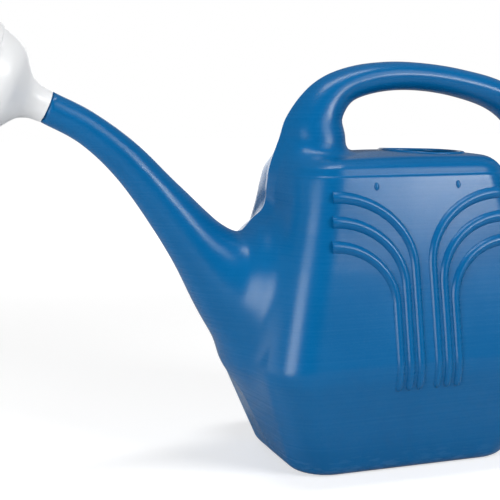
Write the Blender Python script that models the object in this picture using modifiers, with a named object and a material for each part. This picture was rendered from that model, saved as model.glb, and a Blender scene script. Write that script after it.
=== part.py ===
"""Watering can: a blow-moulded tank with its spout and hollow handle, and a push-on rose.

Metres, +Z up. The floor is Z 0, the tank's centre is X 0 and Y 0, and the spout points along -X.
"""

from dataclasses import astuple, dataclass
from math import cos, hypot, pi, radians, sin

import bmesh
import bpy
from mathutils import Matrix, Vector

# Tank
TANK_LENGTH = 0.250
TANK_WIDTH = 0.186
TANK_HEIGHT = 0.250
BELT_HEIGHT = 0.087
BASE_INSET = (0.030, 0.028)
TOP_INSET = (0.034, 0.029)
CORNER_RADIUS = 0.030
BASE_ROUND = 0.007
TOP_ROUND = 0.014
DECK_CROWN = 0.004
PROW_DEPTH = 0.0125
WALL = 0.0022

# Fill opening, in the deck behind the handle's front root
FILL_LENGTH = 0.068
FILL_WIDTH = 0.072
FILL_BACKSET = 0.021

# Raised ribs on the two side panels
RIB_RADIUS = 0.0024
RIB_SINK = 0.0011
RIB_SPACING = 0.0089
RIB_FIRST = 0.0075
RIB_DROP = 0.0185
RIB_ARC_HEIGHT = 0.055
RIB_ARC_STEP = 0.005
RIB_FOOT_DROP = 0.015
RIB_END_INSET = 0.019
RIB_END_STEP = 0.002
RIB_COUNT = 3

# Spout tip, spigot and rose
SPOUT_RISE = 0.041
ROSE_TILT = radians(24)
SPIGOT_RADIUS = 0.0105
TIP_STEP = 0.0018
SPIGOT_LENGTH = 0.016
ROSE_RADIUS = 0.043
ROSE_LENGTH = 0.060
ROSE_WALL = 0.0018
RIM_LENGTH = 0.0095
RIM_STEP = 0.003
FACE_DEPTH = 0.0045
FACE_THICKNESS = 0.0018
FACE_DOME = 0.003
FACE_HOLE_RADIUS = 0.0011
FACE_HOLE_RINGS = 4

# Handle
GRIP_THICKNESS = 0.0236
GRIP_WIDTH = 0.031
GRIP_RISE = 0.065

# Clearances
SEAM_GAP = 0.0003
SLIDE_CLEARANCE = 0.0003

# Facets
CORNER_STEPS = 4
FRONT_STEPS = 8
SIDE_STEPS = 3
TUBE_STEPS = 20
TURNED_STEPS = 40

HALF_LENGTH = TANK_LENGTH / 2
HALF_WIDTH = TANK_WIDTH / 2
TOP_HALF_LENGTH = HALF_LENGTH - TOP_INSET[0]
TOP_HALF_WIDTH = HALF_WIDTH - TOP_INSET[1]
SHOULDER_HEIGHT = TANK_HEIGHT - TOP_ROUND
TIP_RADIUS = SPIGOT_RADIUS + TIP_STEP


@dataclass(frozen=True)
class Station:
    """One cross-section of the spout or handle, in the plane Y 0. Lean turns its depth axis from +Z to +X."""

    x: float
    z: float
    depth: float
    width: float
    lean: float


def spout_stations():
    """The spout from its tip, inside the rose, to deep within the tank's front wall."""
    front = -HALF_LENGTH
    tip = TANK_HEIGHT + SPOUT_RISE
    return [
        Station(front - 0.153, tip, 2 * TIP_RADIUS, 2 * TIP_RADIUS, ROSE_TILT),
        Station(front - 0.123, tip - 0.016, 0.026, 0.026, radians(24)),
        Station(front - 0.092, tip - 0.042, 0.0306, 0.031, radians(33)),
        Station(front - 0.061, tip - 0.0785, 0.0376, 0.039, radians(43)),
        Station(front - 0.0335, tip - 0.1145, 0.0512, 0.056, radians(38)),
        Station(front - 0.013, tip - 0.141, 0.0836, 0.086, radians(17)),
        Station(front + 0.0015, tip - 0.151, 0.122, 0.128, radians(10)),
        Station(front + 0.0225, tip - 0.1585, 0.140, 0.142, radians(6)),
    ]


def handle_stations():
    """The handle from inside the deck, over the fill opening, and down into the rear wall."""
    front = -TOP_HALF_LENGTH
    rear = TOP_HALF_LENGTH
    deck = TANK_HEIGHT
    grip = deck + GRIP_RISE
    return [
        Station(front + 0.025, deck - 0.025, 0.044, 0.100, radians(-84)),
        Station(front + 0.030, deck + 0.012, 0.058, 0.070, radians(-88)),
        Station(front + 0.0315, deck + 0.034, 0.043, 0.044, radians(-83)),
        Station(front + 0.0545, grip - 0.009, 0.029, 0.034, radians(-46)),
        Station(front + 0.101, grip, GRIP_THICKNESS, GRIP_WIDTH, radians(-4)),
        Station(rear - 0.0225, grip - 0.0055, GRIP_THICKNESS, GRIP_WIDTH, radians(12)),
        Station(rear + 0.027, grip - 0.023, 0.0275, 0.032, radians(33)),
        Station(rear + 0.060, deck + 0.001, 0.030, 0.033, radians(80)),
        Station(rear + 0.054, deck - 0.045, 0.034, 0.036, radians(115)),
        Station(rear + 0.017, deck - 0.078, 0.054, 0.052, radians(140)),
        Station(rear - 0.006, deck - 0.090, 0.060, 0.060, radians(150)),
    ]


def mixed(stations, place):
    """The station at a place along the list, on a Catmull-Rom curve. Past either end it runs on straight."""
    rows = [Vector(astuple(station)) for station in stations]
    rows = [2 * rows[0] - rows[1], *rows, 2 * rows[-1] - rows[-2]]
    index = max(0, min(int(place), len(stations) - 2))
    t = place - index
    before, start, end, after = rows[index : index + 4]
    if not 0 <= t <= 1:
        return Station(*(start.lerp(end, t)))
    linear = end - before
    square = 2 * before - 5 * start + 4 * end - after
    cubic = 3 * start - before - 3 * end + after
    return Station(*(start + 0.5 * (linear * t + square * t**2 + cubic * t**3)))


def places(first, last, per_station=3):
    """Evenly spaced places from first to last, about per_station of them between two stations."""
    steps = max(1, round(abs(last - first) * per_station))
    return [first + (last - first) * step / steps for step in range(steps + 1)]


def station_ring(station, inset=0.0):
    """The elliptical section of a station, as points, with both its axes shorter by the inset on each side."""
    up = Vector((sin(station.lean), 0, cos(station.lean)))
    centre = Vector((station.x, 0, station.z))
    ring = []
    for step in range(TUBE_STEPS):
        angle = 2 * pi * step / TUBE_STEPS
        across = Vector((0, (station.width / 2 - inset) * sin(angle), 0))
        ring.append(centre + across + up * (station.depth / 2 - inset) * cos(angle))
    return ring


def half_sizes(height):
    """The tank's half length and half width at a height on its walls."""
    if height < BELT_HEIGHT:
        share = (BELT_HEIGHT - height) / BELT_HEIGHT
        inset = BASE_INSET
    else:
        share = (height - BELT_HEIGHT) / (SHOULDER_HEIGHT - BELT_HEIGHT)
        inset = TOP_INSET
    return HALF_LENGTH - inset[0] * share, HALF_WIDTH - inset[1] * share


def prow(height, y, half_width):
    """How far the front wall bulges forward towards its centre line, most at the belt."""
    low, high = BELT_HEIGHT, TANK_HEIGHT
    share = height / low if height < low else 0.25 + 0.75 * max(0, 1 - (height - low) / (0.6 * (high - low)))
    return PROW_DEPTH * share * cos(pi / 2 * min(1, abs(y) / half_width)) ** 2


def rounded_ring(height, wall_height, shrink):
    """A rounded rectangle around the tank at one height, shrunk all round from its walls."""
    half_length, half_width = (side - shrink for side in half_sizes(wall_height))
    radius = max(0.004, CORNER_RADIUS - shrink)
    straight = (half_length - radius, half_width - radius)
    ring = []
    for quarter in range(4):
        sign_x = 1 if quarter in (0, 3) else -1
        sign_y = 1 if quarter < 2 else -1
        for step in range(CORNER_STEPS + 1):
            angle = pi / 2 * (quarter + step / CORNER_STEPS)
            x = sign_x * straight[0] + radius * cos(angle)
            y = sign_y * straight[1] + radius * sin(angle)
            ring.append(Vector((x, y, height)))
        steps = SIDE_STEPS if quarter % 2 == 0 else FRONT_STEPS
        along_x, along_y = straight[0] * (quarter % 2 == 0), straight[1] * (quarter % 2)
        for step in range(1, steps):
            slide = 2 * step / steps
            ring.append(ring[-step] + Vector((-sign_x * along_x * slide, -sign_y * along_y * slide, 0)))
    for point in ring:
        if point.x < 0:
            point.x -= prow(wall_height, point.y, half_width) * min(1, -point.x / straight[0])
    return ring


def tank_rings(inset):
    """The tank's rings from the base up to the deck's edge and in over the crowned deck."""
    rings = []
    for step in range(3):
        angle = pi / 2 * step / 2
        shrink = inset + (BASE_ROUND - inset) * (1 - sin(angle))
        height = inset + (BASE_ROUND - inset) * (1 - cos(angle))
        rings.append(rounded_ring(height, height, shrink))
    wall = [BASE_ROUND + (BELT_HEIGHT - BASE_ROUND) * share / 3 for share in (1, 2, 3)]
    wall += [BELT_HEIGHT + (SHOULDER_HEIGHT - BELT_HEIGHT) * share / 6 for share in range(1, 7)]
    rings += [rounded_ring(height, height, inset) for height in wall]
    round_over = TOP_ROUND - inset
    for step in range(1, 5):
        angle = pi / 2 * step / 4
        height = SHOULDER_HEIGHT + round_over * sin(angle)
        shrink = inset + round_over * (1 - cos(angle))
        rings.append(rounded_ring(height, SHOULDER_HEIGHT, shrink))
    edge = rings[-1]
    for share in (0.7, 0.4, 0.15):
        crown = DECK_CROWN * (1 - share**2)
        rings.append([Vector((p.x * share, p.y * share, p.z + crown)) for p in edge])
    return rings


def collection(name, hidden=False):
    """A new collection in the scene."""
    made = bpy.data.collections.new(name)
    made.hide_render = hidden
    bpy.context.scene.collection.children.link(made)
    return made


def add_mesh(mesh_data, name, group, helper=False):
    """Turns a bmesh into an object with its normals out, in a collection."""
    bmesh.ops.recalc_face_normals(mesh_data, faces=mesh_data.faces)
    mesh = bpy.data.meshes.new(name)
    mesh_data.to_mesh(mesh)
    mesh_data.free()
    made = bpy.data.objects.new(name, mesh)
    group.objects.link(made)
    if helper:
        made.hide_render = True
        made.display_type = "WIRE"
    return made


def lofted(rings):
    """A closed bmesh through rings of equal length, with flat ends."""
    made = bmesh.new()
    rows = [[made.verts.new(point) for point in ring] for ring in rings]
    count = len(rows[0])
    for low, high in zip(rows, rows[1:]):
        for index in range(count):
            following = (index + 1) % count
            made.faces.new((low[index], low[following], high[following], high[index]))
    made.faces.new(rows[0])
    made.faces.new(rows[-1])
    return made


def turned(profile, name, group, helper=False):
    """A solid turned about its own Z axis, from a profile of (radius, height) points up its outer side."""
    outline = bmesh.new()
    points = [outline.verts.new((radius, 0, height)) for radius, height in reversed(profile)]
    for first, second in zip(points, points[1:]):
        outline.edges.new((first, second))
    if min(radius for radius, _ in profile) > 0:
        outline.edges.new((points[-1], points[0]))
    mesh = bpy.data.meshes.new(name)
    outline.to_mesh(mesh)
    outline.free()
    made = bpy.data.objects.new(name, mesh)
    group.objects.link(made)
    screw = made.modifiers.new("Turn", "SCREW")
    screw.steps = TURNED_STEPS
    screw.render_steps = TURNED_STEPS
    screw.use_merge_vertices = True
    screw.merge_threshold = 0.00001
    if helper:
        made.hide_render = True
        made.display_type = "WIRE"
    return made


def boolean(target, operation, other):
    """Adds an exact Boolean to the target."""
    cut = target.modifiers.new(f"{operation.title()} {other.name}", "BOOLEAN")
    cut.solver = "EXACT"
    cut.operation = operation
    cut.object = other


def material(name, colour, roughness):
    """A plain Principled plastic."""
    made = bpy.data.materials.new(name)
    made.use_nodes = True
    shader = made.node_tree.nodes["Principled BSDF"]
    shader.inputs["Base Color"].default_value = (*colour, 1)
    shader.inputs["Roughness"].default_value = roughness
    shader.inputs["Metallic"].default_value = 0
    return made


def tube(stations, first, last, name, group, inset=0.0, overrun=0.0, helper=True):
    """A solid along the stations between two places. It may run past each place, as a bore's cutter does."""
    way = 1 if last > first else -1
    rings = [
        station_ring(mixed(stations, place), inset)
        for place in places(first - way * overrun, last + way * overrun)
    ]
    return add_mesh(lofted(rings), name, group, helper)


def tip_frame():
    """The matrix of the rose's joint: its Z axis is the spout tip's axis, pointing out."""
    tip = mixed(spout_stations(), 0)
    return Matrix.Translation((tip.x, 0, tip.z)) @ Matrix.Rotation(ROSE_TILT - pi / 2, 4, "Y")


def rib_path(index, side):
    """One rib as points on a side panel: out from the centre, up, and along a quarter ellipse to the side."""
    stem_x = RIB_FIRST + RIB_SPACING * index
    top = SHOULDER_HEIGHT - RIB_DROP * (index + 0.75)
    outer_x = TOP_HALF_LENGTH - RIB_END_INSET + RIB_END_STEP * index
    spread = outer_x - stem_x
    arc_height = RIB_ARC_HEIGHT - RIB_ARC_STEP * index
    heights = [BELT_HEIGHT - RIB_FOOT_DROP, BELT_HEIGHT]
    path = [(stem_x, height) for height in heights]
    for step in range(9):
        angle = pi / 2 * step / 8
        path.append((stem_x + spread * (1 - cos(angle)), top - arc_height * (1 - sin(angle))))
    return [Vector((x, side * (half_sizes(z)[1] - RIB_SINK), z)) for x, z in path]


def rib_body(path):
    """A six-sided bar along a rib's path, as a bmesh."""
    rings = []
    for index, point in enumerate(path):
        before, after = path[max(0, index - 1)], path[min(len(path) - 1, index + 1)]
        along = (after - before).normalized()
        across = along.cross(Vector((0, 1, 0))).normalized()
        out = across.cross(along)
        ring = []
        for step in range(6):
            angle = pi / 3 * (step + 0.5)
            ring.append(point + RIB_RADIUS * (across * cos(angle) + out * sin(angle)))
        rings.append(ring)
    return lofted(rings)


def add_ribs(tank, cutters):
    """Joins the mirrored ribs of both panels to the tank."""
    for side in (-1, 1):
        for index in range(RIB_COUNT):
            for hand in (-1, 1):
                path = [Vector((hand * p.x, p.y, p.z)) for p in rib_path(index, side)]
                name = f"rib_{'near' if side < 0 else 'far'}_{index}_{'left' if hand < 0 else 'right'}"
                boolean(tank, "UNION", add_mesh(rib_body(path), name, cutters, helper=True))


def make_tank(parts, cutters, blue):
    """The tank, with its hollow, its fill opening, and holes where the spout and handle open into it."""
    tank = add_mesh(lofted(tank_rings(0.0)), "tank", parts)
    tank.data.materials.append(blue)
    add_ribs(tank, cutters)
    boolean(tank, "DIFFERENCE", add_mesh(lofted(tank_rings(WALL)), "tank_hollow", cutters, helper=True))
    for stations, first, name in ((spout_stations(), 3, "spout_way"), (handle_stations(), 0, "handle_way")):
        boolean(tank, "DIFFERENCE", tube(stations, first, len(stations) - 1, name, cutters, WALL))
    bpy.ops.mesh.primitive_cylinder_add(
        vertices=32, radius=0.5, depth=0.06, location=(fill_centre_x(), 0, TANK_HEIGHT)
    )
    mouth = bpy.context.object
    mouth.name = "fill_opening"
    mouth.scale = (FILL_LENGTH, FILL_WIDTH, 1)
    mouth.hide_render = True
    mouth.display_type = "WIRE"
    move_to(mouth, cutters)
    boolean(tank, "DIFFERENCE", mouth)
    return tank


def fill_centre_x():
    """The fill opening's centre, set back from the rear edge of the deck."""
    return TOP_HALF_LENGTH - FILL_BACKSET - FILL_LENGTH / 2


def move_to(thing, group):
    """Moves an object to a collection."""
    for owner in list(thing.users_collection):
        owner.objects.unlink(thing)
    group.objects.link(thing)


def make_spout(parts, cutters, blue):
    """The spout, from the tank's front wall to the spigot that the rose is pushed on to."""
    stations = spout_stations()
    spout = tube(stations, 0, len(stations) - 1, "spout", parts, helper=False)
    spout.data.materials.append(blue)
    spigot = turned(
        [(0, -0.004), (SPIGOT_RADIUS, -0.004), (SPIGOT_RADIUS, SPIGOT_LENGTH), (0, SPIGOT_LENGTH)],
        "spigot",
        cutters,
        helper=True,
    )
    spigot.matrix_world = tip_frame()
    boolean(spout, "UNION", spigot)
    boolean(spout, "DIFFERENCE", add_mesh(lofted(tank_rings(-SEAM_GAP)), "tank_seat", cutters, helper=True))
    bore_radius = SPIGOT_RADIUS - WALL
    bore = turned(
        [(0, -0.012), (bore_radius, -0.012), (bore_radius, SPIGOT_LENGTH + 0.004), (0, SPIGOT_LENGTH + 0.004)],
        "spigot_bore",
        cutters,
        helper=True,
    )
    bore.matrix_world = tip_frame()
    boolean(spout, "DIFFERENCE", tube(stations, 0.2, len(stations) - 1, "spout_bore", cutters, WALL, 0.1))
    boolean(spout, "DIFFERENCE", bore)
    return spout


def make_handle(parts, cutters, blue):
    """The hollow handle, from the deck to the rear wall."""
    stations = handle_stations()
    last = len(stations) - 1
    handle = tube(stations, 0, last, "handle", parts, helper=False)
    handle.data.materials.append(blue)
    boolean(handle, "DIFFERENCE", bpy.data.objects["tank_seat"])
    boolean(handle, "DIFFERENCE", tube(stations, 0, last, "handle_bore", cutters, WALL, 0.1))
    return handle


def rose_outline():
    """The rose shell's outer outline as (radius, height above the joint), from collar to rim."""
    collar = TIP_RADIUS + 0.0001
    shoulder = ROSE_RADIUS - RIM_STEP
    rim_start = ROSE_LENGTH - RIM_LENGTH
    return [
        (collar, SEAM_GAP),
        (collar + 0.0005, 0.009),
        (collar + 0.0036, 0.0165),
        (collar + 0.0078, 0.0207),
        (shoulder - 0.0130, 0.0255),
        (shoulder - 0.0060, 0.0310),
        (shoulder - 0.0022, 0.0380),
        (shoulder, rim_start - 0.003),
        (shoulder, rim_start),
        (ROSE_RADIUS - 0.0006, rim_start + 0.0008),
        (ROSE_RADIUS, rim_start + 0.003),
        (ROSE_RADIUS, ROSE_LENGTH - 0.0015),
        (ROSE_RADIUS - 0.0012, ROSE_LENGTH),
    ]


def face_radius():
    """The perforated face's radius, which clears the shell's rim."""
    return ROSE_RADIUS - ROSE_WALL - SLIDE_CLEARANCE


def make_rose_shell(parts, white):
    """The bell-shaped rose with its socket for the spigot and its ledge for the face."""
    socket = SPIGOT_RADIUS + SLIDE_CLEARANCE
    shoulder = ROSE_RADIUS - RIM_STEP
    seat = face_radius() + SLIDE_CLEARANCE
    ledge = ROSE_LENGTH - FACE_DEPTH - SEAM_GAP
    bell = [
        (seat, ROSE_LENGTH),
        (seat, ledge),
        (shoulder - ROSE_WALL, ledge),
        (shoulder - ROSE_WALL - 0.0010, 0.0430),
        (shoulder - ROSE_WALL - 0.0052, 0.0350),
        (shoulder - ROSE_WALL - 0.0135, 0.0272),
        (socket + 0.0062, 0.0225),
        (socket + 0.0018, 0.0185),
        (socket, SPIGOT_LENGTH),
        (socket, SEAM_GAP),
    ]
    shell = turned([*rose_outline(), *bell], "rose_shell", parts)
    shell.matrix_world = tip_frame()
    shell.data.materials.append(white)
    return shell


def face_hole_places():
    """The centres of the face's holes, one in the middle and rings of six, twelve and so on round it."""
    centres = [Vector((0, 0, 0))]
    pitch = (face_radius() - 0.006) / (FACE_HOLE_RINGS + 0.2)
    for ring in range(1, FACE_HOLE_RINGS + 1):
        for step in range(6 * ring):
            angle = 2 * pi * (step + 0.5 * (ring % 2)) / (6 * ring)
            centres.append(Vector((ring * pitch * cos(angle), ring * pitch * sin(angle), 0)))
    return centres


def make_rose_face(parts, cutters, white):
    """The domed face with its holes, seated inside the rim of the shell."""
    seat = ROSE_LENGTH - FACE_DEPTH
    radius = face_radius()
    top = [(radius, seat + FACE_THICKNESS), (radius * 0.66, seat + FACE_THICKNESS + FACE_DOME * 0.6)]
    top += [(radius * 0.33, seat + FACE_THICKNESS + FACE_DOME * 0.9), (0, seat + FACE_THICKNESS + FACE_DOME)]
    under = [(share, height - FACE_THICKNESS) for share, height in reversed(top)]
    face = turned([*under, *top], "rose_face", parts)
    face.matrix_world = tip_frame()
    face.data.materials.append(white)
    drills = bmesh.new()
    for centre in face_hole_places():
        bmesh.ops.create_cone(
            drills,
            cap_ends=True,
            segments=8,
            radius1=FACE_HOLE_RADIUS,
            radius2=FACE_HOLE_RADIUS,
            depth=0.03,
            matrix=Matrix.Translation(centre + Vector((0, 0, ROSE_LENGTH))),
        )
    drill = add_mesh(drills, "face_drills", cutters, helper=True)
    drill.matrix_world = tip_frame()
    boolean(face, "DIFFERENCE", drill)
    return face


def clear_scene():
    """Removes the startup scene's objects."""
    for thing in list(bpy.data.objects):
        bpy.data.objects.remove(thing, do_unlink=True)


def main():
    clear_scene()
    parts = collection("watering_can")
    cutters = collection("cutters", hidden=True)
    blue = material("blue_moulding", (0.004, 0.10, 0.35), 0.42)
    white = material("white_rose", (0.86, 0.87, 0.88), 0.38)
    make_tank(parts, cutters, blue)
    make_spout(parts, cutters, blue)
    make_handle(parts, cutters, blue)
    make_rose_shell(parts, white)
    make_rose_face(parts, cutters, white)


main()
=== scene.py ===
"""A moulded watering can with its rose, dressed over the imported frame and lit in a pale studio.

The moulding is one smooth skin, worked out as a signed distance field, that stands for the tank, spout and
handle solids. The rose, its face, the ribs and the rims are pieces of their own.
"""

import logging
from dataclasses import astuple, dataclass
from enum import Enum
from math import cos, pi, radians, sin
from typing import Sequence

import bmesh
import bpy
import numpy as np
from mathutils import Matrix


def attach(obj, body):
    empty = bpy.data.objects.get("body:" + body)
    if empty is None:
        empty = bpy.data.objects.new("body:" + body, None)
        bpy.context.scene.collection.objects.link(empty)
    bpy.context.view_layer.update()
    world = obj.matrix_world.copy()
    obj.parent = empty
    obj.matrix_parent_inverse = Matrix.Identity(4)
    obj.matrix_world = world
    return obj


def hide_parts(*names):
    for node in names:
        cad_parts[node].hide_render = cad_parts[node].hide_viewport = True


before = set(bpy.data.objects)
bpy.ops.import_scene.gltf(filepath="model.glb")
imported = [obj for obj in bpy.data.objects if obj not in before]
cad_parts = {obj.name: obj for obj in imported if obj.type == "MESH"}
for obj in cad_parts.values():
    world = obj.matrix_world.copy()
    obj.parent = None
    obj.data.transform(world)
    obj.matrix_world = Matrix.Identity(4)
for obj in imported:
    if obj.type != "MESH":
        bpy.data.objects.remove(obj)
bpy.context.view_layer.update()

import openvdb
from mathutils import Matrix, Vector

log = logging.getLogger("watering_can")

Array = np.ndarray
Planar = tuple[Array, Array, Array, Array]


class Body(Enum):
    """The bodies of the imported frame."""

    CAN = "can"
    ROSE = "rose"


class Slot(Enum):
    """The record's material slots."""

    BLUE = "blue_moulding"
    WHITE = "white_rose"


# ---------------------------------------------------------------------------------------------- sizes


@dataclass(frozen=True)
class TankSizes:
    """Driving sizes of the tank, in metres."""

    length: float = 0.250
    width: float = 0.186
    height: float = 0.250
    belt_height: float = 0.087
    base_inset: tuple[float, float] = (0.030, 0.028)
    top_inset: tuple[float, float] = (0.034, 0.029)
    corner_radius: float = 0.030
    base_round: float = 0.007
    top_round: float = 0.014
    belt_round: float = 0.0050
    deck_crown: float = 0.004
    panel_bulge: float = 0.0012
    prow_depth: float = 0.0125
    wall: float = 0.0022

    @property
    def half_length(self) -> float:
        """Half the length at the belt."""
        return self.length / 2

    @property
    def half_width(self) -> float:
        """Half the width at the belt."""
        return self.width / 2

    @property
    def top_half_length(self) -> float:
        """Half the length at the shoulder."""
        return self.half_length - self.top_inset[0]

    @property
    def shoulder(self) -> float:
        """The height where the walls start to round over to the deck."""
        return self.height - self.top_round


@dataclass(frozen=True)
class MouthSizes:
    """The fill opening in the deck."""

    length: float = 0.068
    width: float = 0.072
    backset: float = 0.021
    bead: float = 0.0017

    def centre(self, tank: TankSizes) -> float:
        """The opening's centre along X."""
        return tank.top_half_length - self.backset - self.length / 2


@dataclass(frozen=True)
class RibSizes:
    """The raised fountain of ribs on a side panel, and its two pips."""

    count: int = 3
    first: float = 0.0075
    spacing: float = 0.0089
    drop: float = 0.0185
    arc_height: float = 0.055
    arc_step: float = 0.005
    end_inset: float = 0.019
    end_step: float = 0.002
    foot_drop: float = 0.015
    width: float = 0.0074
    height: float = 0.0026
    pip_width: float = 0.0040
    pip_height: float = 0.0062
    pip_offset: float = 0.0355
    pip_drop: float = 0.0065


@dataclass(frozen=True)
class RoseSizes:
    """The spout's tip and the rose on it. Heights run out along the tip's axis from the joint."""

    tip_rise: float = 0.041
    tip_reach: float = 0.153
    tip_radius: float = 0.0123
    tilt: float = radians(24)
    spigot_radius: float = 0.0105
    spigot_length: float = 0.016
    radius: float = 0.043
    length: float = 0.060
    wall: float = 0.0018
    rim: float = 0.0095
    seat_depth: float = 0.0045
    face_thickness: float = 0.0018
    face_dome: float = 0.003
    hole_radius: float = 0.0011
    hole_rings: int = 4
    clearance: float = 0.0003
    seam: float = 0.0003

    @property
    def shoulder(self) -> float:
        """The bell's radius behind its rim."""
        return self.radius - 0.003

    @property
    def face_radius(self) -> float:
        """The perforated face's radius."""
        return self.radius - self.wall - self.clearance

    def axes(self, tank: TankSizes) -> Matrix:
        """The joint's frame: its Z axis is the tip's axis, pointing out."""
        place = Vector((-tank.half_length - self.tip_reach, 0, tank.height + self.tip_rise))
        return Matrix.Translation(place) @ Matrix.Rotation(self.tilt - pi / 2, 4, "Y")


@dataclass(frozen=True)
class Station:
    """One elliptical section of the spout or handle, in the plane Y 0. Lean turns its depth from +Z to +X."""

    x: float
    z: float
    depth: float
    width: float
    lean: float


def spout_stations(tank: TankSizes, rose: RoseSizes) -> list[Station]:
    """The spout's sections from its tip to deep within the tank's front wall.

    Args:
        tank: the tank's sizes, which place the root.
        rose: the rose's sizes, which set the tip.

    Returns:
        The sections in order.
    """
    front = -tank.half_length
    tip = tank.height + rose.tip_rise
    bore = 2 * rose.tip_radius
    return [
        Station(front - rose.tip_reach, tip, bore, bore, rose.tilt),
        Station(front - 0.123, tip - 0.016, 0.026, 0.026, radians(24)),
        Station(front - 0.092, tip - 0.042, 0.0306, 0.031, radians(33)),
        Station(front - 0.061, tip - 0.0785, 0.0376, 0.039, radians(43)),
        Station(front - 0.0335, tip - 0.1145, 0.0512, 0.056, radians(38)),
        Station(front - 0.013, tip - 0.141, 0.0836, 0.078, radians(17)),
        Station(front + 0.0015, tip - 0.151, 0.122, 0.098, radians(10)),
        Station(front + 0.0225, tip - 0.1585, 0.140, 0.108, radians(6)),
    ]


def handle_stations(tank: TankSizes) -> list[Station]:
    """The handle's sections from inside the deck, over the opening and down into the rear wall.

    Args:
        tank: the tank's sizes, which place both roots.

    Returns:
        The sections in order.
    """
    front, rear, deck = -tank.top_half_length, tank.top_half_length, tank.height
    grip, thickness, breadth = deck + 0.065, 0.0236, 0.031
    return [
        Station(front + 0.025, deck - 0.025, 0.044, 0.074, radians(-84)),
        Station(front + 0.0285, deck + 0.012, 0.053, 0.058, radians(-88)),
        Station(front + 0.0315, deck + 0.034, 0.043, 0.044, radians(-83)),
        Station(front + 0.0545, grip - 0.009, 0.029, 0.034, radians(-46)),
        Station(front + 0.101, grip, thickness, breadth, radians(-4)),
        Station(rear - 0.0225, grip - 0.0055, thickness, breadth, radians(12)),
        Station(rear + 0.027, grip - 0.023, 0.0275, 0.032, radians(33)),
        Station(rear + 0.060, deck + 0.001, 0.030, 0.033, radians(80)),
        Station(rear + 0.054, deck - 0.045, 0.034, 0.036, radians(115)),
        Station(rear + 0.017, deck - 0.078, 0.054, 0.052, radians(140)),
        Station(rear - 0.006, deck - 0.090, 0.060, 0.060, radians(150)),
    ]


# ------------------------------------------------------------------------------------- distance fields


def smooth_union(first: Array, second: Array, blend: float) -> Array:
    """The union of two distance fields, filleted where they meet.

    Args:
        first: one field.
        second: the other field.
        blend: the width of the fillet's blend, in metres.

    Returns:
        The joined field.
    """
    overlap = np.maximum(blend - np.abs(first - second), 0) / blend
    return np.minimum(first, second) - overlap**2 * blend / 4


class Sweep:
    """A distance field around elliptical sections swept along a curve in the plane Y 0."""

    def __init__(self, stations: Sequence[Station], samples: int = 14) -> None:
        """Keeps the sections and samples the curve through them.

        Args:
            stations: the sections, in order.
            samples: how many places to sample between two sections.
        """
        rows = np.array([astuple(station) for station in stations])
        first, last = 2 * rows[0] - rows[1], 2 * rows[-1] - rows[-2]
        self.rows = np.vstack([first, rows, last])
        self.end = len(stations) - 1.0
        self.places = np.linspace(0, self.end, int(self.end) * samples + 1)
        self.curve = self.at(self.places)

    def at(self, place: Array) -> Array:
        """The section at each place along the list of stations, on a Catmull-Rom curve.

        Args:
            place: places, where 0 is the first station, 1 the second and so on.

        Returns:
            A row of x, z, depth, width and lean for each place.
        """
        index = np.clip(place.astype(int), 0, int(self.end) - 1)
        t = (place - index)[..., None]
        before, start, end, after = (self.rows[index + step] for step in range(4))
        square = 2 * before - 5 * start + 4 * end - after
        cubic = 3 * start - before - 3 * end + after
        return start + 0.5 * ((end - before) * t + square * t**2 + cubic * t**3)

    def past_plane(self, x: Array, z: Array, place: Array) -> Array:
        """How far each point lies past the plane of the section at its place.

        Args:
            x: the points' X.
            z: the points' Z.
            place: the places.

        Returns:
            The distances, along the sweep.
        """
        here = self.at(place)
        return (x - here[..., 0]) * np.cos(here[..., 4]) - (z - here[..., 1]) * np.sin(here[..., 4])

    def locate(self, x: Array, z: Array, guess: Array | None = None) -> Array:
        """The place along the sweep whose section plane holds each point, from a guess if there is one.

        Args:
            x: the points' X.
            z: the points' Z.
            guess: places to start from, or None to search for them.

        Returns:
            The places.
        """
        place, rounds = guess, 2
        if place is None:
            reach = (x[..., None] - self.curve[:, 0]) ** 2 + (z[..., None] - self.curve[:, 1]) ** 2
            place, rounds = self.places[np.argmin(reach, axis=-1)], 6
        step = 0.02
        for _ in range(rounds):
            low = self.past_plane(x, z, np.clip(place - step, 0, self.end))
            high = self.past_plane(x, z, np.clip(place + step, 0, self.end))
            slope = (high - low) / (2 * step)
            slope = np.where(np.abs(slope) < 1e-3, 1e-3 * np.sign(slope + 1e-12), slope)
            move = np.clip(-(low + high) / 2 / slope, -0.4, 0.4)
            place = np.clip(place + move, 0, self.end)
        return place

    def planar(self, x: Array, z: Array, guess: Array | None = None) -> Planar:
        """What the distance needs of the plane Y 0.

        Args:
            x: the points' X.
            z: the points' Z.
            guess: places to start from, or None to search for them.

        Returns:
            The place within the section's depth, both half axes, and the reach past an end.
        """
        place = self.locate(x, z, guess)
        here = self.at(place)
        lean = here[..., 4]
        depth = (x - here[..., 0]) * np.sin(lean) + (z - here[..., 1]) * np.cos(lean)
        along = (x - here[..., 0]) * np.cos(lean) - (z - here[..., 1]) * np.sin(lean)
        ended = (place <= 1e-6) | (place >= self.end - 1e-6)
        return depth, here[..., 2] / 2, here[..., 3] / 2, np.where(ended, np.abs(along), 0.0)

    def distance(self, planar: Planar, y: Array) -> Array:
        """The distance from the sweep's surface.

        Args:
            planar: what planar() gave for the points.
            y: the points' Y.

        Returns:
            The distances, less than zero inside.
        """
        depth, tall, wide, beyond = planar
        ratio = np.sqrt((depth / tall) ** 2 + (y / wide) ** 2)
        slope = np.sqrt((depth / tall**2) ** 2 + (y / wide**2) ** 2)
        side = np.where(slope > 1e-6, ratio * (ratio - 1) / np.maximum(slope, 1e-6), -np.minimum(tall, wide))
        outside = np.sqrt(np.maximum(side, 0) ** 2 + beyond**2)
        return np.where(beyond > 0, np.where(side > 0, outside, beyond), side)


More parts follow.
